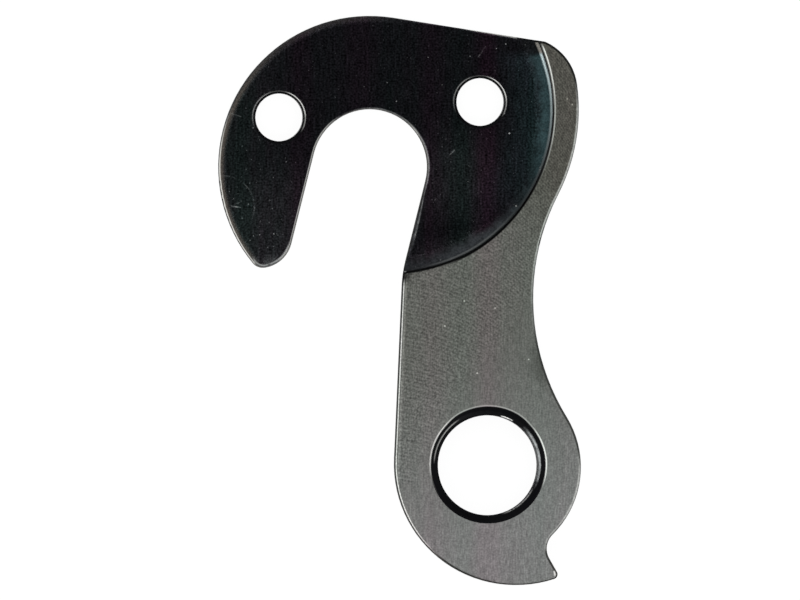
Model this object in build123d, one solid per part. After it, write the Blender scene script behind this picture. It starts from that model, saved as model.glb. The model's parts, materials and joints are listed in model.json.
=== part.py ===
from build123d import *
import os
from collections import namedtuple
from math import asin, atan2, cos, sin, sqrt, tau

# A one-piece derailleur hanger, milled from aluminium plate. The hook at the top holds a recessed seat
# for the frame's dropout and an open slot for the wheel's axle. The tongue below it is thicker and holds
# the tapped hole for the derailleur, with a stop tab at its rear foot.
# Lengths are in millimetres and angles in degrees. X runs towards the rear of the bicycle, Y up and
# Z inboard. The origin is on the axis of the tapped hole, in the flat outboard face.

# Thicknesses, the small round on the edges of the inboard faces and the chamfer on the outboard ones
tongue_thickness = 7.5
seat_thickness = 4.0
edge_round = 0.3
outboard_chamfer = 0.25

# Tapped hole for the derailleur's bolt, at the tapping size of M10 x 1
thread_bore = 9.0
thread_chamfer = 0.75

# Axle slot: its round end is about the axle, and it opens downwards and forwards
axle_ahead = 10.55
axle_height = 26.87
slot_width = 10.4
slot_lean = 14.04

# Hook round the axle, ending in the toe, whose inner round is centred this far inside the hook's edge
hook_radius = 13.61
toe_inset = 1.92
toe_radius = 2.91
toe_tip_radius = 1.15

# Seat: the shoulder behind it is an arc about its own centre, placed from the axle
seat_centre_back = 1.53
seat_centre_up = 5.18
shoulder_radius = 14.85
shoulder_foot_round = 1.5

# Two clearance holes for the frame's M4 screws, placed by the middle of their line from the axle
bolt_hole = 4.3
bolt_hole_chamfer = 0.25
bolt_spacing = 18.17
bolt_line_tilt = 4.36
bolt_middle_back = 0.88
bolt_middle_up = 5.16

# Heel behind the seat: a rim, struck from a little behind the seat's centre, a rounded corner on it
# and a tighter one where that meets the crown
rim_width = 1.9
rim_back = 0.46
heel_radius = 4.9
heel_turn = 7.9
heel_tip_radius = 0.6
heel_tip_turn = 65.2

# Neck and tongue: the neck eases the slot's rear side into the tongue's front edge, down to the lobe
neck_depth = 7.34
neck_radius = 12.0
lobe_back = 2.58
lobe_height = 0.12
lobe_radius = 10.91

# Boss behind the tapped hole, the waist above it, and the stop tab and its notch below
boss_ahead = 0.18
boss_drop = 0.15
boss_radius = 8.56
waist_radius = 20.46
tab_turn = -71.9
tab_tip_radius = 0.45
tab_lean = 29.8
notch_radius = 1.78

# How far a cutting shape runs past the faces that it cuts
overrun = 1.0

# One round of the outline. Its radius is negative where the outline is hollow
Round = namedtuple("Round", "centre radius")


def polar(length, angle):
    """The vector of a length at an angle from the X axis."""
    return Vector(length, 0).rotate(Axis.Z, angle)


def point_between(first, first_distance, second, second_distance):
    """The point at its own distance from each of two points, left of the line from first to second."""
    line = second - first
    along = (line.length**2 + first_distance**2 - second_distance**2) / (2 * line.length)
    across = sqrt(first_distance**2 - along**2)
    way = line.normalized()
    return first + way * along + way.rotate(Axis.Z, 90) * across


def point_along(start, way, centre, distance):
    """The first point on a straight way from start that is at a distance from a centre."""
    to_middle = (centre - start).dot(way)
    miss = (start + way * to_middle - centre).length
    return start + way * (to_middle - sqrt(distance**2 - miss**2))


def heading(start, end):
    """The direction, in radians, in which the outline leaves one round for the next."""
    line = end.centre - start.centre
    swing = (end.radius - start.radius) / line.length
    return atan2(line.Y, line.X) - asin(max(-1.0, min(1.0, swing)))


def point_at(corner, way):
    """The point of a round where the outline has a given direction."""
    return corner.centre + Vector(sin(way), -cos(way)) * corner.radius


def outline_over(rounds):
    """A closed outline over a ring of rounds that touch or are joined by their common tangents."""
    ways = [heading(start, end) for start, end in zip(rounds, rounds[1:] + rounds[:1])]
    edges = []
    point = point_at(rounds[0], ways[-1])
    for i, corner in enumerate(rounds):
        turn = (ways[i] - ways[i - 1]) % tau
        if corner.radius < 0:
            turn -= tau
        middle = point_at(corner, ways[i - 1] + turn / 2)
        end = point_at(corner, ways[i])
        edges.append(ThreePointArc(point, middle, end))
        point = end
        tangent_end = point_at(rounds[(i + 1) % len(rounds)], ways[i])
        if (tangent_end - end).length > 1e-4:
            edges.append(Line(end, tangent_end))
            point = tangent_end
    return make_face(edges)


def finished_slab(face, height):
    """A flat slab of an outline, chamfered round its outboard face and rounded round its inboard one."""
    slab = extrude(face, height)
    slab = chamfer(slab.edges().group_by(Axis.Z)[0], outboard_chamfer)
    return fillet(slab.edges().group_by(Axis.Z)[-1], edge_round)


def drilled_hole(bore, chamfer_size, depth):
    """A straight through hole with a 45 degree chamfer at each mouth, as a cutting shape."""
    radius = bore / 2
    mouth = radius + chamfer_size + overrun
    half = Polyline(
        (0, -overrun),
        (mouth, -overrun),
        (radius, chamfer_size),
        (radius, depth - chamfer_size),
        (mouth, depth + overrun),
        (0, depth + overrun),
        close=True,
    )
    return revolve(Plane.XZ * make_face(half), Axis.Z)


# Centres of the outline's rounds, each found from the features that it touches
axle = Vector(-axle_ahead, axle_height)
slot_radius = slot_width / 2
slot_way = polar(1, -90 - slot_lean)
slot_rear = polar(1, -slot_lean)

toe_across = slot_radius + toe_radius
toe_depth = sqrt((hook_radius - toe_inset) ** 2 - toe_across**2)
toe = axle + slot_way * toe_depth - slot_rear * toe_across
toe_tip = point_between(axle, hook_radius - toe_tip_radius, toe, toe_radius - toe_tip_radius)

neck = axle + slot_way * neck_depth + slot_rear * (slot_radius + neck_radius)
lobe = Vector(lobe_back, lobe_height)

seat_centre = axle + Vector(seat_centre_back, seat_centre_up)
rim_centre = seat_centre + Vector(rim_back, 0)
rim_radius = shoulder_radius + rim_width
heel = rim_centre + polar(rim_radius - heel_radius, heel_turn)
heel_tip = heel + polar(heel_radius - heel_tip_radius, heel_tip_turn)

boss = Vector(-boss_ahead, -boss_drop)
waist = point_between(rim_centre, rim_radius + waist_radius, boss, boss_radius + waist_radius)
tab_tip = lobe + polar(lobe_radius - tab_tip_radius, tab_turn)
tab_way = polar(1, 90 + tab_lean)
notch_line = tab_tip + tab_way.rotate(Axis.Z, -90) * (tab_tip_radius + notch_radius)
notch = point_along(notch_line, tab_way, boss, boss_radius + notch_radius)

outline = outline_over([
    Round(axle, hook_radius),
    Round(toe_tip, toe_tip_radius),
    Round(toe, toe_radius),
    Round(axle, -slot_radius),
    Round(neck, neck_radius),
    Round(lobe, lobe_radius),
    Round(tab_tip, tab_tip_radius),
    Round(notch, -notch_radius),
    Round(boss, boss_radius),
    Round(waist, -waist_radius),
    Round(rim_centre, rim_radius),
    Round(heel, heel_radius),
    Round(heel_tip, heel_tip_radius),
])

# The tongue's full slab, and the thinner plate that the seat leaves under the hook
slab = finished_slab(outline, tongue_thickness)
plate = finished_slab(outline, seat_thickness)

# The slab is cut right through under the seat, which the plate fills again: a round pocket with a
# rounded foot and brim at its shoulder, opened out over the whole front
top = tongue_thickness + overrun
foot_inside = shoulder_radius - shoulder_foot_round
foot = CenterArc((foot_inside, seat_thickness + shoulder_foot_round), shoulder_foot_round, -90, 90)
brim_outside = shoulder_radius + edge_round
brim = CenterArc((brim_outside, tongue_thickness - edge_round), edge_round, 180, -90)
pocket_half = make_face([
    Polyline((0, -overrun), (foot_inside, -overrun), foot @ 0),
    foot,
    Line(foot @ 1, brim @ 0),
    brim,
    Polyline(brim @ 1, (brim_outside, top), (0, top), (0, -overrun)),
])
pocket = Pos(seat_centre) * revolve(Plane.XZ * pocket_half, Axis.Z)
front_low = Vector(axle.X - hook_radius - overrun, toe.Y - toe_radius - overrun, -overrun)
front_high = Vector(seat_centre.X, axle.Y + hook_radius + overrun, top)
front_size = front_high - front_low
front = Pos(front_low) * Box(front_size.X, front_size.Y, front_size.Z, align=Align.MIN)

# Holes: the tapped one through the tongue, and the frame's two screws through the plate
thread_hole = drilled_hole(thread_bore, thread_chamfer, tongue_thickness)
bolt_middle = axle + Vector(bolt_middle_back, bolt_middle_up)
half_spacing = polar(bolt_spacing / 2, bolt_line_tilt)
bolt_cutter = drilled_hole(bolt_hole, bolt_hole_chamfer, seat_thickness)
bolt_holes = [Pos(bolt_middle + way * half_spacing) * bolt_cutter for way in (-1, 1)]

hanger = slab - pocket - front + plate - thread_hole - bolt_holes

os.makedirs("parts", exist_ok=True)
export_step(hanger, "parts/hanger.step")
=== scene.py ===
import json
from math import cos, radians, sin, sqrt, tan, tau

import bpy
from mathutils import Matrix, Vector
from mathutils.kdtree import KDTree


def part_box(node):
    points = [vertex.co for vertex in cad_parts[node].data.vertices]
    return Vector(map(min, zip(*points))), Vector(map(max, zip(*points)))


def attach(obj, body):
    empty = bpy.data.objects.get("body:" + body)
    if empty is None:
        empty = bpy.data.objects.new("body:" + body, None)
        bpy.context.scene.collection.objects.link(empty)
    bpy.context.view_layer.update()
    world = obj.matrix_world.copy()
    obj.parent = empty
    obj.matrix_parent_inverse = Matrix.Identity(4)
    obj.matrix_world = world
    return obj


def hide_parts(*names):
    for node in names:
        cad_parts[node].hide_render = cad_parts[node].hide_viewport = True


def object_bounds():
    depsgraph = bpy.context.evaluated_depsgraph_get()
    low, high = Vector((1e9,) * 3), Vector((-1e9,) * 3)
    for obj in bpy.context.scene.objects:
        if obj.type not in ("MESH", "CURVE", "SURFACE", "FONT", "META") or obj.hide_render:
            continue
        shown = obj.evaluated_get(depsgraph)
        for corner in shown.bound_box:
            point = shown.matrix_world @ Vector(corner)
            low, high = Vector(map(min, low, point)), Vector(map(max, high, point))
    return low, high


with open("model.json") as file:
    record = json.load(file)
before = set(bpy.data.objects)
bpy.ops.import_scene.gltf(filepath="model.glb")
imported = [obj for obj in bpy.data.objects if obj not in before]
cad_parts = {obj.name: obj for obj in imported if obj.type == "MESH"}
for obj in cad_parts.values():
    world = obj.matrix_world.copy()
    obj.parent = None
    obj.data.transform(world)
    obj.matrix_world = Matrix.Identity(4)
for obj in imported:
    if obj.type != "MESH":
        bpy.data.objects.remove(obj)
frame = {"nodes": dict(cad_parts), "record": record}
cad_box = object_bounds()

# Hanger plate: one piece of aluminium alloy, milled to shape from plate, with small rounds on its edges.
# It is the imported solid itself, as a copy of its mesh with the doubled vertices merged. Sizes are in
# millimetres and places are the part's own, with the origin on the axis of the tapped hole.
mm = 0.001
merge_gap = 0.0001
mounts = {mount["name"]: mount for mount in frame["record"]["mounts"]}
axle_x, axle_y = (place / mm for place in mounts["axle_slot"]["pos_m"][:2])
seat_height = mounts["frame_seat"]["pos_m"][2] / mm
plate_low, plate_high = (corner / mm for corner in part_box("hanger"))
tongue_height = plate_high.z
hook_radius = axle_x - plate_low.x
edge_round = 0.3

hanger = bpy.data.objects.new("hanger_plate", frame["nodes"]["hanger"].data.copy())
bpy.context.collection.objects.link(hanger)
hanger.data.materials.clear()
bpy.ops.object.select_all(action="DESELECT")
hanger.select_set(True)
bpy.context.view_layer.objects.active = hanger
bpy.ops.mesh.customdata_custom_splitnormals_clear()
bpy.ops.object.mode_set(mode="EDIT")
bpy.ops.mesh.select_all(action="SELECT")
bpy.ops.mesh.remove_doubles(threshold=merge_gap * mm)
bpy.ops.object.mode_set(mode="OBJECT")
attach(hanger, "root")
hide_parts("hanger")

# Thread for the derailleur's bolt: right-hand M10 x 1, tapped into the bored hole. A groove with the
# thread's section is wound up through the hole and cut out of the plate.
thread = mounts["derailleur_thread"]["dims"]
bore_radius = thread["r_mm"]
chamfer_size = (tongue_height - thread["length_mm"]) / 2
chamfer_radius = bore_radius + chamfer_size
thread_pitch = 1.0
thread_radius = 5.0
flank_angle = radians(30)
root_flat = thread_pitch / 8
groove_foot = bore_radius - 0.1
groove_mouth = root_flat + 2 * (thread_radius - groove_foot) * tan(flank_angle)
groove_low = -1.5
groove_turns = 11
groove_steps = 64
groove_start = radians(231)
sharp_edge = radians(35)

bpy.ops.object.select_all(action="DESELECT")
bpy.ops.mesh.primitive_plane_add(size=1)
groove = bpy.context.active_object
bpy.ops.object.mode_set(mode="EDIT")
bpy.ops.mesh.delete(type="ONLY_FACE")
bpy.ops.object.mode_set(mode="OBJECT")
for corner in groove.data.vertices:
    outer = corner.co.x > 0
    width = root_flat if outer else groove_mouth
    reach = thread_radius if outer else groove_foot
    side = 0.5 if corner.co.y > 0 else -0.5
    corner.co = (reach * mm, 0, (groove_low + side * width) * mm)
winding = groove.modifiers.new("winding", "SCREW")
winding.screw_offset = thread_pitch * mm
winding.iterations = groove_turns
winding.steps = groove_steps
winding.render_steps = groove_steps
bpy.ops.object.modifier_apply(modifier="winding")
bpy.ops.object.mode_set(mode="EDIT")
bpy.ops.mesh.select_mode(type="EDGE")
bpy.ops.mesh.select_all(action="DESELECT")
bpy.ops.mesh.select_non_manifold()
bpy.ops.mesh.fill_holes(sides=4)
bpy.ops.mesh.select_all(action="SELECT")
bpy.ops.mesh.normals_make_consistent(inside=False)
bpy.ops.transform.rotate(value=-groove_start, orient_axis="Z", center_override=(0, 0, 0))
bpy.ops.object.mode_set(mode="OBJECT")

bpy.ops.object.select_all(action="DESELECT")
hanger.select_set(True)
bpy.context.view_layer.objects.active = hanger
tapping = hanger.modifiers.new("tapping", "BOOLEAN")
tapping.operation = "DIFFERENCE"
tapping.solver = "MANIFOLD"
tapping.object = groove
bpy.ops.object.modifier_apply(modifier="tapping")
bpy.data.objects.remove(groove)
bpy.ops.object.shade_smooth_by_angle(angle=sharp_edge)
evening = hanger.modifiers.new("evening", "WEIGHTED_NORMAL")
evening.keep_sharp = True
evening.weight = 100
bpy.ops.object.modifier_apply(modifier="evening")

# The plate's small rounds shade by their true normals, as their facets are uneven: each corner there turns
# as the nearest wall does and tips up by its height in the round.
bolts = mounts["frame_bolts"]
bolt_radius = bolts["dims"]["hole_r_mm"]
bolt_chamfer = 0.25
margin = 0.01
upright = 0.01
level_gap = 0.001
bolt_middle = Vector(bolts["pos_m"]) / mm
bolt_tilt = radians(4.36)
half_spacing = Vector((cos(bolt_tilt), sin(bolt_tilt), 0)) * bolts["dims"]["pcd_mm"] / 2
bolt_places = [bolt_middle - half_spacing, bolt_middle + half_spacing]


def near_hole(centre):
    """True within the countersinks of the tapped hole and of the two screw holes."""
    if centre.xy.length < chamfer_radius + margin:
        return True
    return any((centre - place).xy.length < bolt_radius + bolt_chamfer + margin for place in bolt_places)


places = [hanger.data.vertices[corner.vertex_index].co / mm for corner in hanger.data.loops]
turns = [corner.vector.copy() for corner in hanger.data.corner_normals]
walls = KDTree(len(turns))
for face in hanger.data.polygons:
    if abs(face.normal.z) < upright and not near_hole(face.center / mm):
        for corner in face.loop_indices:
            walls.insert((places[corner].x, places[corner].y, 0), corner)
walls.balance()
for face in hanger.data.polygons:
    centre = face.center / mm
    if face.normal.z < upright or near_hole(centre):
        continue
    for top in (seat_height, tongue_height):
        if not top - edge_round < centre.z < top + level_gap:
            continue
        for corner in face.loop_indices:
            tip = min(max((places[corner].z - top) / edge_round + 1, 0), 1)
            wall = turns[walls.find((places[corner].x, places[corner].y, 0))[1]]
            turns[corner] = Vector((wall.x, wall.y, 0)).normalized() * sqrt(1 - tip**2) + Vector((0, 0, tip))
hanger.data.normals_split_custom_set(turns)


# Milled finish: bare satin alloy on the tongue's face, the walls and the outboard face. The face shows the
# arcs of the mill that planed it under a fine grain along its length. Handling has worn its edges bare, and
# they carry painted highlights where they face the light, except along the top.
class Socket:
    """One output of a node tree. Sums and products of these add Math nodes."""

    def __init__(self, tree, socket=None):
        self.tree = tree
        self.socket = socket

    def node(self, kind, settings=None, inputs=None, output=0):
        """Adds a node, with its settings and the values or links of its inputs, and gives an output."""
        node = self.tree.nodes.new("ShaderNode" + kind)
        for name, value in (settings or {}).items():
            setattr(node, name, value)
        for name, value in (inputs or {}).items():
            if isinstance(value, Socket):
                self.tree.links.new(value.socket, node.inputs[name])
            else:
                node.inputs[name].default_value = value
        return Socket(self.tree, node.outputs[output] if node.outputs else None)

    def out(self, name):
        """Another output of the same node."""
        return Socket(self.tree, self.socket.node.outputs[name])

    def math(self, operation, *values):
        """A Math node of these values."""
        return self.node("Math", {"operation": operation}, dict(enumerate(values)))

    def __add__(self, other):
        return self.math("ADD", self, other)

    def __sub__(self, other):
        return self.math("SUBTRACT", self, other)

    def __rsub__(self, other):
        return self.math("SUBTRACT", other, self)

    def __mul__(self, other):
        return self.math("MULTIPLY", self, other)

    def __truediv__(self, other):
        return self.math("DIVIDE", self, other)

    def __pow__(self, other):
        return self.math("POWER", self, other)

    def __abs__(self):
        return self.math("ABSOLUTE", self)

    __radd__ = __add__
    __rmul__ = __mul__

    def most(self, other):
        """The larger of two values."""
        return self.math("MAXIMUM", self, other)

    def rise(self, low, high):
        """Eases from 0 at low to 1 at high, or falls where high is below low."""
        inputs = {"Value": self, "From Min": low, "From Max": high}
        return self.node("MapRange", {"interpolation_type": "SMOOTHSTEP"}, inputs)

    def line(self, middle, half_width):
        """Eases from 1 in the middle to 0 at the half width on both sides."""
        return abs(self - middle).rise(half_width, 0)

    def between(self, first, second):
        """A colour between two, by this value."""
        return self.node("Mix", {"data_type": "RGBA"}, {0: self, 6: first, 7: second}, 2)

    def vector(self, operation, other, output="Vector"):
        """Vector maths of this vector and another."""
        return self.node("VectorMath", {"operation": operation}, {0: self, 1: other}, output)

    def scaled(self, factor):
        """This vector or colour times a value."""
        return self.node("VectorMath", {"operation": "SCALE"}, {0: self, "Scale": factor})

    def noise(self, stretch, detail=2.0):
        """Noise of this vector, in waves to the millimetre along each axis, from about -0.5 to 0.5."""
        inputs = {"Vector": self.vector("MULTIPLY", stretch), "Scale": 1.0, "Detail": detail}
        return self.node("TexNoise", {}, inputs) - 0.5


def tone(red, green, blue):
    """A colour as it shows on screen, in steps of 255, as the shader's own values."""
    parts = [((part / 255 + 0.055) / 1.055) ** 2.4 for part in (red, green, blue)]
    return (*parts, 1.0)


def new_finish(name):
    """A material with no nodes yet, the start of its nodes, and the object's place in millimetres."""
    material = bpy.data.materials.new(name)
    material.use_nodes = True
    material.node_tree.nodes.clear()
    nodes = Socket(material.node_tree)
    spot = nodes.node("TexCoord", output="Object").vector("MULTIPLY", (1 / mm, 1 / mm, 1 / mm))
    return material, nodes, spot


def parts_of(vector):
    """The three parts of a vector."""
    split = vector.node("SeparateXYZ", {}, {0: vector})
    return split, split.out("Y"), split.out("Z")


def towards(x, y, length, degrees):
    """How nearly a level direction points at an angle: 1 along it and -1 away from it."""
    return (x * cos(radians(degrees)) + y * sin(radians(degrees))) / length


def worn_and_highlit_edges(nodes):
    """How level the surface is, how far its edge is worn bare with a painted highlight, and how far it faces
    down the part.
    """
    turn_x, turn_y, turn_z = parts_of(nodes.node("TexCoord", output="Normal"))
    sideways = (turn_x * turn_x + turn_y * turn_y).most(1e-6) ** 0.5
    to_front = towards(turn_x, turn_y, sideways, 195)
    to_rear = towards(turn_x, turn_y, sideways, -25)
    level = abs(turn_z)
    front_edge = to_front.rise(0.78, 0.99) * level.rise(0.15, 0.4) * level.rise(0.85, 0.67)
    rear_edge = to_rear.rise(0.8, 0.97) * level.rise(0.4, 0.7) * level.rise(0.99, 0.9)
    return level, front_edge.most(rear_edge * 0.62), (turn_y / sideways).rise(0.5, -0.8)


def hue_bands(spot, strength):
    """A faint tint to multiply by, in upright bands, some a little red and some a little green."""
    x, y = parts_of(spot)[:2]
    redness = 0.3 + spot.noise((1.6, 0.2, 0.0)) * 0.6 + y.rise(0, -9) * 0.3
    red_bands = [(-16.9, 1.8, 0.35), (-11.5, 2.2, 0.35), (-5.1, 1.6, 0.35), (0.0, 1.7, 0.7)]
    for middle, half_width, amount in red_bands:
        redness = redness + x.line(middle, half_width) * amount
    green_bands = [(-22.2, 2.0), (-8.8, 1.1), (-2.4, 1.5), (4.5, 2.8)]
    lower = 1 - y.rise(31, 37) * 0.7
    for middle, half_width in green_bands:
        redness = redness - x.line(middle, half_width) * lower * 0.3
    green = (1 - strength * 0.8, 1 + strength * 0.3, 1 - strength * 0.3, 1)
    red = (1 + strength, 1 - strength * 0.4, 1 + strength * 0.2, 1)
    return redness.between(green, red)


def off_centre(spot, place):
    """The distance of the surface from an upright line through a place of the plate."""
    offset = spot.vector("MULTIPLY", (1, 1, 0)).vector("SUBTRACT", (place[0], place[1], 0))
    return offset.node("VectorMath", {"operation": "LENGTH"}, {0: offset}, "Value").most(1e-6)


def dress(material, belongs):
    """Gives a material to the faces that belong to it, by their centre in millimetres and normal."""
    hanger.data.materials.append(material)
    index = len(hanger.data.materials) - 1
    for face in hanger.data.polygons:
        if belongs(face.center / mm, face.normal):
            face.material_index = index


def specks(spot, pitch, radius, share):
    """Small dots of dust, at most one to a cell of this pitch, in a share of the cells."""
    dust = spot.node("TexVoronoi", {}, {"Vector": spot, "Scale": 1 / pitch})
    kind, strength = parts_of(dust.out("Color"))[:2]
    dot = dust.rise(radius / pitch, radius * 0.3 / pitch) * kind.rise(1 - share, 1.01 - share)
    return dot * (0.3 + strength * 0.7)


def dots(spot, places):
    """Single larger dots of dust, by their places."""
    shown = 0
    for place in places:
        shown = off_centre(spot, place).rise(0.11, 0.03) + shown
    return shown


def stroke(spot, start, end, height, half_width):
    """A straight scratch between two places at a height, as 1 on its line and 0 beside it."""
    first = Vector((*start, height))
    run = Vector((*end, height)) - first
    from_first = spot.vector("SUBTRACT", first)
    along = from_first.vector("DOT_PRODUCT", run / run.length_squared, "Value")
    along = along.math("MINIMUM", along.most(0), 1)
    nearest = spot.node("CombineXYZ", {}, dict(enumerate(run))).scaled(along)
    return from_first.vector("DISTANCE", nearest, "Value").rise(half_width, 0)


seat_x, seat_y = -9.02, 32.05
shoulder_radius = 14.85
face_mill = 23
face_mill_x = -12.3
feed_marks = 0.36
hole_rear = 11
glint_tone = tone(255, 254, 250)
# Painted shade for the insides of the holes and countersinks
hole_shade_tone = tone(12, 12, 14)

material, nodes, spot = new_finish("milled_alloy")
x, y, z = parts_of(spot)
level, worn_and_highlit, downward = worn_and_highlit_edges(nodes)
past_brim = off_centre(spot, (seat_x, seat_y)) - shoulder_radius

# The face: its tone along the tongue and towards the heel, the mill's arcs, the grain, dust and scratches
tongue_tone = (x * 0.4 - y).rise(-16, 10).between(tone(98, 98, 94), tone(124, 124, 123))
waist_tone = off_centre(spot, (6.3, 9.3)).rise(3.4, 1.2).between(tongue_tone, tone(84, 84, 81))
face_tone = (y + x * 0.9).rise(20, 33).between(waist_tone, tone(82, 80, 75))
milled = (y - x * 1.5).rise(7, 13)
mill_side = (x - face_mill_x) * (x - face_mill_x)
mill_way = (y - (face_mill**2 - mill_side).most(1.0) ** 0.5) * (tau / feed_marks)
mill_way = mill_way + spot.noise((0.6, 0.6, 0.0)) * 6
mill_mark = mill_way.math("SINE", mill_way) * milled
grain = spot.noise((7.5, 1.2, 0.0), 0.0)
streak = spot.noise((1.6, 0.12, 0.0))
mottle = spot.noise((6.5, 6.5, 6.5), 0.0)
face_shade = 1 + grain * 0.27 + streak * 0.13 + mottle * (0.34 + milled * 0.26) + mill_mark * 0.06
tongue_dust = [(-2.14, 14.79), (0.64, 14.15), (-3.89, 12.54), (3.67, 9.54), (-0.97, 8.3)]
rim_dust = [(7.15, 33.0), (7.6, 32.5)]
face_shade = face_shade + specks(spot, 1.1, 0.09, 0.4) * 0.3 + dots(spot, tongue_dust + rim_dust) * 0.9
# A lighter strip along the face's front edge
front_strip = (x - y * 0.04).rise(-7.85, -8.05)
face_shade = face_shade + front_strip * 0.22
scratches = [
    ((-8.1, 2.5), (-6.0, 2.0)),
    ((-7.4, 6.05), (-6.5, 5.95)),
    ((-8.2, -1.2), (-6.9, -1.5)),
]
for start, end in scratches:
    face_shade = face_shade - stroke(spot, start, end, tongue_height, 0.1) * 0.1

# The walls: matt, with the cutter's marks down them. Two corners of the face's edge are painted dark as
# shade
chatter = spot.noise((6.0, 6.0, 0.3))
lower_brim = y.rise(18.8, 17.7) * past_brim.rise(0.4, 0.3) * level.rise(0.25, 0.55)
flat = (level + downward * 0.18).rise(0.9, 0.98).most(lower_brim)
shade = (flat * face_shade + (1 - flat) * (1 + chatter * 0.3)) ** 2.2
# Painted shade on the rounds that face up the part, deepest higher up; those facing down are lighter
upward_shade_tone = y.rise(19, 12).between(tone(30, 30, 29), tone(60, 60, 58))
edge_shaded_tone = downward.between(upward_shade_tone, tone(56, 55, 53))
wall_tone = level.rise(0.15, 0.03).between(edge_shaded_tone, tone(80, 80, 78))
neck_corner_shade = off_centre(spot, (-7.75, 17.2)).rise(1.2, 0.3)
crown_corner_shade = off_centre(spot, (4.7, 38.2)).rise(0.4, 0.15) * z.rise(6.6, 7.1)
corner = neck_corner_shade.most(crown_corner_shade)
plain_tone = flat.between(wall_tone, face_tone).scaled(shade * (1 - corner * 0.8))


def brim_shadow(past_brim, y):
    """The painted shadow along the shoulder's brim: a dark line which wanders a little and is wider at its
    lower end.
    """
    half_way = y.rise(25.3, 26.6) * y.rise(33, 31)
    wander = 0.05 - y.rise(24, 26) * 0.03 + half_way * 0.05 - y.rise(19.7, 17.2) * 0.15
    return abs(past_brim - wander).rise(0.15 - y.rise(26, 34) * 0.02, 0.05)


# The shoulder's brim: a painted shadow as a dark line, and a painted highlight as a bright one behind it
# along its upper end. The worn edges' painted highlights are duller at the rear, and the tip of the stop tab
# has a painted glint
on_brim = z.rise(6.5, 7) * x.rise(-12, -9)
brim_shade = brim_shadow(past_brim, y) * on_brim
brim_highlight_strength = y.rise(25, 31) * 0.45 + y.rise(32, 36.5) * 0.55
brim_highlight = past_brim.line(0.23, 0.1) * brim_highlight_strength * y.rise(38.1, 37.4) * on_brim
at_tab = y.rise(-4.2, -5.6) + y.rise(-8.0, -8.6)
rear_side = x.rise(1, 3) * (0.2 + y.line(16, 6) * 0.3 + at_tab * 0.4)
tab_glint = stroke(spot, (5.98, -9.6), (6.04, -9.88), tongue_height, 0.15) * 0.7
worn_and_highlit = worn_and_highlit * (1 - brim_shade) * (1 - corner) * (1 - rear_side) * (0.8 + mottle * 0.7)


def countersink_ring(spot):
    """The painted highlight of a thin bright ring at the brim of the tapped hole, strongest at the rear, and
    the painted shade inside it.
    """
    x, y, z = parts_of(spot)
    from_hole = off_centre(spot, (0, 0))
    rear = towards(x, y, from_hole, hole_rear).rise(0.8, 1.0)
    front = towards(x, y, from_hole, 160).rise(0.8, 0.97)
    strength = (y / from_hole).rise(-0.6, 0.3) * 0.3 + front * 0.45
    above = (y / from_hole).rise(0.66, 0.88) * 0.08
    ring_radius = (x * 0.025 + y * 0.04) / from_hole + above + chamfer_radius - 0.01
    on_top = z.rise(6, 7)
    ring = from_hole.line(ring_radius, 0.105) * strength.most(rear) * on_top
    return ring, from_hole.rise(ring_radius, ring_radius - 0.06) * on_top


ring, sunk_shade = countersink_ring(spot)
# Painted highlights on the worn edges, the brim, the countersink's ring and the tab's tip, over the painted
# shadows
bright = worn_and_highlit.most(brim_highlight * 0.9).most(ring).most(tab_glint)
brim_shadow_tone = brim_shade.between(plain_tone, y.rise(24, 28).between(tone(5, 5, 5), tone(30, 30, 31)))
sunk_shade_tone = sunk_shade.between(brim_shadow_tone, hole_shade_tone)
metal_tone = bright.between(sunk_shade_tone, glint_tone)
tinted = metal_tone.vector("MULTIPLY", hue_bands(spot, 0.06))
relief = grain + mottle + mill_mark * 0.3
bump = nodes.node("Bump", {}, {"Strength": 0.2, "Distance": 0.01 * mm, "Height": relief})
shader = nodes.node("BsdfPrincipled", {}, {
    "Base Color": tinted,
    "Metallic": flat * 0.2 + worn_and_highlit * 0.6,
    "Roughness": 0.5 - worn_and_highlit * 0.22,
    "Specular IOR Level": 0.0,
    "Normal": bump,
})
nodes.node("OutputMaterial", {}, {"Surface": shader})
dress(material, lambda centre, normal: True)

# Seat finish: the recess that meets the frame is cut with a polishing cutter and anodised black. It shines
# like dark glass, has a painted teal reflection on its rounded foot, and has dust and fine scratches.
slot_radius = 5.2
mirrored = 0.15
slot_way = Vector(mounts["axle_slot"]["axis"])


def on_seat(centre, normal):
    """True on the seat's flat, its rounded edge, and the shoulder's foot and wall."""
    if centre.z < seat_height - edge_round or normal.z < -0.1:
        return False
    if centre.z < seat_height + margin:
        return normal.z > 0.05
    arm = Vector((centre.x - seat_x, centre.y - seat_y))
    inward = arm.dot(normal.xy) < 0
    return inward and arm.length < shoulder_radius + margin and centre.z < tongue_height - edge_round


def screw_ring_highlights(spot):
    """Painted highlights on the thin rings round the two screw holes: brightest above at the rear, and none
    below.
    """
    rings = 0
    for place in bolt_places:
        reach = off_centre(spot, place)
        way_x, way_y = parts_of(spot.vector("SUBTRACT", place))[:2]
        rear = towards(way_x, way_y, reach, 35).rise(0.7, 0.97) * 0.7
        front = towards(way_x, way_y, reach, 155).rise(0.6, 0.95) * 0.36
        behind = (way_x / reach).rise(0.8, 0.98) * 0.3
        strength = rear.most(front).most(behind) + (way_y / reach).rise(-0.3, 0.3) * 0.1
        ring_radius = bolt_radius + bolt_chamfer - 0.01 - way_x / reach * 0.04
        rings = reach.line(ring_radius, 0.09) * strength + rings
    return rings


material, nodes, spot = new_finish("bright_seat")
x, y, z = parts_of(spot)
level, worn_and_highlit, downward = worn_and_highlit_edges(nodes)

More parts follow.
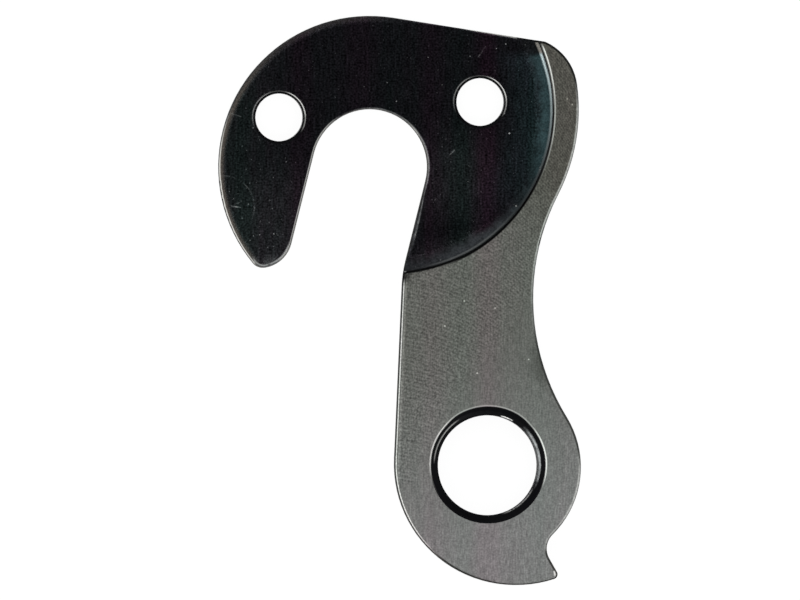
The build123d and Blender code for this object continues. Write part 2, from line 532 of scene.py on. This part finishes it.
# The flat: nearly black, hazier at the toe, behind the slot, towards the shoulder and along its edges
past_brim = off_centre(spot, (seat_x, seat_y)) - shoulder_radius
inside = hook_radius - off_centre(spot, (axle_x, axle_y))
from_axle = spot.vector("SUBTRACT", (axle_x, axle_y, seat_height))
down_slot = from_axle.vector("DOT_PRODUCT", slot_way, "Value")
across_slot = from_axle.vector("DOT_PRODUCT", (-slot_way.y, slot_way.x, 0), "Value")
above_slot = down_slot.math("MINIMUM", down_slot, 0)
from_slot = (across_slot * across_slot + above_slot * above_slot) ** 0.5 - slot_radius
toe_middle = (-20.5, 21.5)
toe_tip = (-19.5, 18.5)
toe_haze = off_centre(spot, toe_middle).rise(9, 1) + off_centre(spot, toe_tip).rise(3, 0.5)
slot_haze = off_centre(spot, (-2.5, 26)).rise(6, 1)
forward = (axle_x - x) / off_centre(spot, (axle_x, axle_y))
edge_haze = inside.rise(0.7, 0.2) * forward.rise(-0.3, 0.1)
low_haze = past_brim.rise(-2.7, -1.7) * y.rise(22.5, 20.5) * x.rise(-9, -6)
front_haze = x.rise(-17, -22) * 0.45
haze = toe_haze.most(slot_haze * 0.7).most(low_haze * 0.5).most(front_haze)
dim = off_centre(spot, (-3.2, 21.3)).rise(2.0, 0.6)
grain = spot.noise((5.5, 0.7, 0.0), 0.0)
mottle = spot.noise((6.0, 6.0, 6.0), 0.0)
flat_tone = haze.between(tone(63, 59, 67), tone(97, 92, 100))
behind_slot = x.rise(-12, -9)
# A painted bluish reflection on the flat near the shoulder's foot
near_foot = past_brim.rise(-4.8, -1.5) * y.rise(21, 29) * y.rise(37.6, 36.4) * behind_slot
near_tone = near_foot.between(flat_tone, tone(83, 88, 100))
flat_shade = (1 + grain * 0.6 + mottle * 1.2 - dim * 0.12).most(0.1) ** 2.2
gloss_tone = near_tone.scaled(flat_shade).vector("MULTIPLY", hue_bands(spot, 0.36))

# The shoulder: its foot has a painted teal reflection at the upper end, and the wall above it a painted
# highlight there and a dull tone below. The foot is matt, so it begins with the share of the flat's tone
# that the gloss mirrors
blotch = spot.noise((0.9, 0.9, 0.0))
past_foot = past_brim - y.line(24.6, 5) * 0.6
fillet = past_foot.rise(-1.6, -1.05) * behind_slot
foot_ends = y.rise(37.2, 36.75) * (1 - y.rise(19, 17.3) * 0.6)
foot = (past_foot + blotch * 0.9).rise(-1.4, -0.3) * foot_ends * behind_slot
foot_reflection_tone = y.rise(21, 28).between(tone(58, 61, 64), tone(50, 69, 72)).scaled(1 + mottle * 1.2 + blotch)
foot_shown = foot.between(gloss_tone.scaled(mirrored), foot_reflection_tone)
shoulder_tone = foot_shown.scaled((fillet * (1 - mirrored) + mirrored) ** -1)
past_wall = past_brim - y.rise(36.5, 33.5) * 0.07
wall = past_wall.rise(-0.3, -0.12) * behind_slot
wall_light = ((y - 24) / 12.4).most(0) ** 2 * y.rise(37.25, 36.95) * past_wall.rise(0.04, -0.12)
wall_plain = y.rise(36.95, 37.25).between(tone(60, 64, 65), tone(150, 146, 139))
wall_plain = wall_plain.scaled(y.rise(38.16, 38.02))
wall_tone = wall.between(shoulder_tone, wall_light.between(wall_plain, tone(225, 243, 245)))
shadow = brim_shadow(past_brim, y) * y.rise(25, 21) * z.rise(6.8, 5.6) * behind_slot
shaded_tone = shadow.between(wall_tone, tone(5, 5, 5))

# Wear: scratches, a scuff by the toe, dust, and a brown haze inside the hook's front edge that is partly
# wear and partly a painted sheen. Painted highlights: a glint at the shoulder's lower corner, and bright
# lines along the edges of the toe, the slot and the shoulder's lower end
scratches = [
    ((-23.2, 31.75), (-22.2, 31.4)),
    ((-22.95, 23.32), (-22.2, 23.22)),
    ((-22.9, 23.5), (-22.35, 23.65)),
    ((-23.05, 23.32), (-22.5, 23.27)),
    ((-0.8, 36.8), (-0.15, 37.7)),
    ((-3.6, 27.7), (-2.95, 28.4)),
    ((-4.7, 23.9), (-4.2, 24.4)),
]
marks = 0
for start, end in scratches:
    marks = stroke(spot, start, end, seat_height, 0.09) + marks
scuff_place = (-23.75, 23.3)
scuff_radius = 2.77
scuff = off_centre(spot, scuff_place).line(scuff_radius, 0.1) * y.rise(21.8, 22.8)
broken = spot.noise((1.5, 1.5, 0.0)).rise(-0.2, 0.15)
speck = specks(spot, 1.0, 0.08, 0.55) * 0.8
speck = speck.most(specks(spot, 0.4, 0.075, 0.5) * (0.2 + haze * 0.3))
seat_dust = [(2.6, 23.36), (2.0, 29.9), (1.52, 31.7), (4.8, 26.6)]
speck = speck.most(dots(spot, seat_dust) * level.rise(0.05, 0.3) * 0.9)
brown_wear_and_sheen = inside.rise(0.6, 0.15) * forward.rise(0.6, 0.95) * (0.8 + mottle * 1.2)
marks_and_glint = (marks * 0.4).most(scuff * 0.25) * broken
# A painted glint on the wall where the shoulder's lower end meets the tongue
marks_and_glint = marks_and_glint.most(stroke(spot, (-7.75, 17.38), (-7.4, 17.46), 4.85, 0.17))

# Painted highlights along the edges of the toe, its tip, the slot and the shoulder's lower end
toe_round = (-20.46, 20.67)
tip_round = (-20.16, 18.94)
tip_haze = off_centre(spot, (-19.4, 18.0)).rise(1.3, 0.3)
toe_highlight = off_centre(spot, toe_round).line(2.69, 0.13) * x.rise(-19.9, -19.4) * y.rise(20.4, 19.4)
tip_highlight = off_centre(spot, tip_round).line(0.94, 0.15) * x.rise(-19.4, -19.9) * y.rise(18.9, 18.4)
low_slot = y.rise(25, 21.5)
slot_shown = across_slot.rise(-4, -1) * y.rise(19, 21) * (0.5 + broken * 0.5)
slot_highlight = from_slot.line(0.12 + low_slot * 0.1, 0.09 + low_slot * 0.06) * slot_shown
slot_rear = across_slot.rise(3, 4) * from_slot.rise(0.5, 0.35)
low_brim = past_brim + y.rise(19.7, 17.2) * 0.15
low_brim_highlight = low_brim.line(-0.17, 0.14) * y.rise(17.6, 18.6) * y.rise(23.5, 19.5) * behind_slot
marks_and_highlights = speck.most(marks_and_glint).most(screw_ring_highlights(spot)).most(tip_haze * 0.16).most(slot_highlight * 0.6)
marks_and_highlights = marks_and_highlights.most(toe_highlight * 0.8).most(tip_highlight * 0.8).most(low_brim_highlight * 0.3)

hazed_tone = (edge_haze * 0.6).between(shaded_tone, tone(52, 48, 45))
worn_and_sheen_tone = brown_wear_and_sheen.between(hazed_tone, tone(108, 101, 94))
marked_and_highlit_tone = marks_and_highlights.between(worn_and_sheen_tone, tone(160, 162, 160))
# The seat's edges: worn bare with painted highlights where they face the light, and the outer part of their
# round painted lighter where it faces down the part and in shade where it faces up
on_edge = z.rise(seat_height + 0.02, seat_height) * level.rise(0.98, 0.9)
worn_and_highlit = worn_and_highlit * on_edge * (1 - slot_rear * 0.8)
outer = level.rise(0.8, 0.55) * on_edge
edge_shaded_tone = outer.between(marked_and_highlit_tone, downward.between(tone(42, 41, 40), tone(100, 99, 96)))
tinted = worn_and_highlit.between(edge_shaded_tone, tone(216, 214, 208))
matt = marks_and_highlights.most(wall).most(fillet).most(outer).most(brown_wear_and_sheen * 0.5).most(edge_haze * 0.4) * (1 - worn_and_highlit)
tipped = nodes.node("CombineXYZ", {}, {2: wall}).vector("ADD", nodes.node("TexCoord", output="Normal"))
shader = nodes.node("BsdfPrincipled", {}, {
    "Base Color": tinted,
    "Metallic": 1 - matt,
    "Roughness": 0.13 + worn_and_highlit * 0.15 + matt * 0.4,
    "Specular IOR Level": 0.05,
    "Normal": tipped.vector("NORMALIZE", (0, 0, 0)),
})
nodes.node("OutputMaterial", {}, {"Surface": shader})
dress(material, on_seat)


# Holes' finish: the countersinks and walls of the three holes are painted dark as shade, with fine rings
# from the drill, a painted highlight as a thin bright line where each meets the face, and painted light on
# the tapped hole's rear wall.
def in_hole(centre, normal):
    """True on the wall or the chamfers of the tapped hole and of the two screw holes."""
    return abs(normal.z) < 0.99 and near_hole(centre)


def tap_glints(spot):
    """Painted glints: a bright curl on the burr that the tap left on the bore's rim, and dull ones low at
    its rear and in front.
    """
    x, y, z = parts_of(spot)
    from_hole = off_centre(spot, (0, 0))
    to_curl = towards(x, y, from_hole, 68)
    to_low = towards(x, y, from_hole, -50)
    to_front = towards(x, y, from_hole, 150)
    broken = spot.noise((4.0, 4.0, 4.0)).rise(-0.25, 0.0)
    curl = from_hole.line(bore_radius + 0.1, 0.08) * to_curl.rise(0.99, 0.997)
    dull = from_hole.line(bore_radius + 0.07, 0.09) * to_low.rise(0.91, 0.97) * 0.3
    front = from_hole.line(bore_radius + 0.35, 0.09) * to_front.rise(0.87, 0.95) * z.rise(6, 6.5) * 0.3
    return (curl.most(dull) * z.rise(5, 5.5) * broken).most(front)


material, nodes, spot = new_finish("dark_hole")
x, y = parts_of(spot)[:2]
from_hole = off_centre(spot, (0, 0))
to_rear = towards(x, y, from_hole, hole_rear)
bright = countersink_ring(spot)[0].most(screw_ring_highlights(spot)).most(tap_glints(spot))
rings = spot.noise((0.3, 0.3, 9.0))
# Painted light on the tapped hole's rear wall, and painted shade on the rest of the walls
lit_rear_wall = to_rear.rise(0.75, 0.95) * from_hole.rise(bore_radius + 0.06, bore_radius + 0.02)
wall_tone = lit_rear_wall.between(hole_shade_tone, tone(104, 105, 105))
base = bright.between(wall_tone, glint_tone).scaled(1 + rings * 0.8)
shader = nodes.node("BsdfPrincipled", {}, {
    "Base Color": base,
    "Roughness": 0.45 + rings * 0.2,
    "Specular IOR Level": 0.08,
})
nodes.node("OutputMaterial", {}, {"Surface": shader})
dress(material, in_hole)


# Thread finish: the flanks that the tap cut are bare alloy. They are painted lit as a crescent at the rear
# of the hole, with a painted highlight along it, and painted dark as shade elsewhere.
def in_thread(centre, normal):
    """True on the flanks and the root of the thread."""
    reach = centre.xy.length
    flank = 0.8 < abs(normal.z) < 0.95
    root = reach > thread_radius - 0.1 and abs(normal.z) < 0.3
    return reach < thread_radius + margin and (flank or root)


material, nodes, spot = new_finish("cut_thread")
x, y = parts_of(spot)[:2]
from_hole = off_centre(spot, (0, 0))
burr = spot.noise((3.0, 3.0, 3.0))
# Painted light on the flanks at the rear, with a painted highlight part way down them, and painted shade on
# the rest
rear = (towards(x, y, from_hole, hole_rear) + burr * 0.1).rise(0.79, 1.0)
thread_depth = from_hole - bore_radius
flank_highlight = thread_depth.rise(0.07, 0.15) * thread_depth.rise(0.33, 0.25)
flank_tone = flank_highlight.between(tone(92, 93, 93), tone(184, 187, 187))
cut_tone = rear.between(tone(14, 14, 16), flank_tone).scaled(1 + burr * 1.4)
base = tap_glints(spot).between(cut_tone, glint_tone)
shader = nodes.node("BsdfPrincipled", {}, {
    "Base Color": base,
    "Metallic": rear * 0.3,
    "Roughness": 0.4,
    "Specular IOR Level": 0.15,
})
nodes.node("OutputMaterial", {}, {"Surface": shader})
dress(material, in_thread)

# Floor: a wide white sheet just under the part. The camera and reflections see it as white, and it still
# takes the part's shadow.
floor_gap = 0.02
floor_size = 60
floor_level = cad_box[0].z - floor_gap * mm
bpy.ops.object.select_all(action="DESELECT")
bpy.ops.mesh.primitive_plane_add(size=floor_size, location=(0, 0, floor_level))
floor = bpy.context.active_object
floor.name = "floor"
material, nodes = new_finish("white_floor")[:2]
path = nodes.node("LightPath", output="Is Camera Ray")
seen = path.most(path.out("Is Glossy Ray")).most(path.out("Is Transmission Ray"))
glow = nodes.node("Emission", {}, {"Color": (1, 1, 1, 1), "Strength": 0.94})
shaded = nodes.node("BsdfDiffuse", {}, {"Color": (0.1, 0.1, 0.1, 1)})
plain = nodes.node("BsdfDiffuse", {}, {"Color": (0.85, 0.85, 0.85, 1)})
white = nodes.node("AddShader", {}, {0: glow, 1: shaded})
nodes.node("OutputMaterial", {}, {"Surface": nodes.node("MixShader", {}, {0: seen, 1: plain, 2: white})})
floor.data.materials.append(material)

# Light: a dim room with soft panels low at the left and the right, and weaker ones beyond the part and
# before it, which its gloss and its edges reflect. A large lamp overhead lights the matt surfaces evenly.
world = bpy.data.worlds.new("studio")
bpy.context.scene.world = world
world.use_nodes = True
world.node_tree.nodes.clear()
nodes = Socket(world.node_tree)
way_x, way_y, way_z = parts_of(nodes.node("TexCoord", output="Generated"))
sideways = (way_x * way_x + way_y * way_y).most(1e-6) ** 0.5


def panel(azimuth, half_width, lowest, highest):
    """A soft panel of light round an azimuth, in degrees, that fades between two heights of the sky."""
    closeness = towards(way_x, way_y, sideways, azimuth)
    across = closeness.rise(cos(radians(half_width * 1.4)), cos(radians(half_width * 0.6)))
    return across * way_z.rise(highest, lowest)


left = panel(192, 28, 0.5, 0.97) * 0.5 + panel(192, 28, 0.15, 0.5) * 0.7
right = panel(-22, 40, 0.4, 0.97) * 0.8
beyond = panel(112, 22, 0.3, 0.9) * 0.5
before = panel(270, 40, 0.15, 0.6) * 0.2
below = way_z.rise(0.03, 0.0)
light = (0.12 + left + right + beyond + before) * (1 - below) + below
back = nodes.node("Background", {}, {"Color": (0.97, 1.0, 1.01, 1), "Strength": light})
nodes.node("OutputWorld", {}, {"Surface": back})

lamp_height = 0.6
lamp_size = 0.5
lamp_power = 3.5
bpy.ops.object.light_add(type="AREA", location=(0, axle_y / 2 * mm, lamp_height))
lamp = bpy.context.active_object
lamp.data.size = lamp_size
lamp.data.energy = lamp_power
lamp.visible_glossy = False
lamp.visible_camera = False

# Camera: a parallel view from the inboard side, square to the face but for a slight tilt, which shows a
# strip of the walls that face forwards. The width of its picture is in the part's own millimetres.
view_tilt = radians(1.2)
frame_width = 72.07
distance = 0.4
aim = Vector((-7.928, 14.887, tongue_height)) * mm
bpy.ops.object.camera_add(
    location=aim + Vector((-sin(view_tilt), 0, cos(view_tilt))) * distance,
    rotation=(0, -view_tilt, 0),
)
camera = bpy.context.active_object
camera.data.type = "ORTHO"
camera.data.ortho_scale = frame_width * mm
bpy.context.scene.camera = camera
bpy.context.scene.view_settings.view_transform = "Standard"
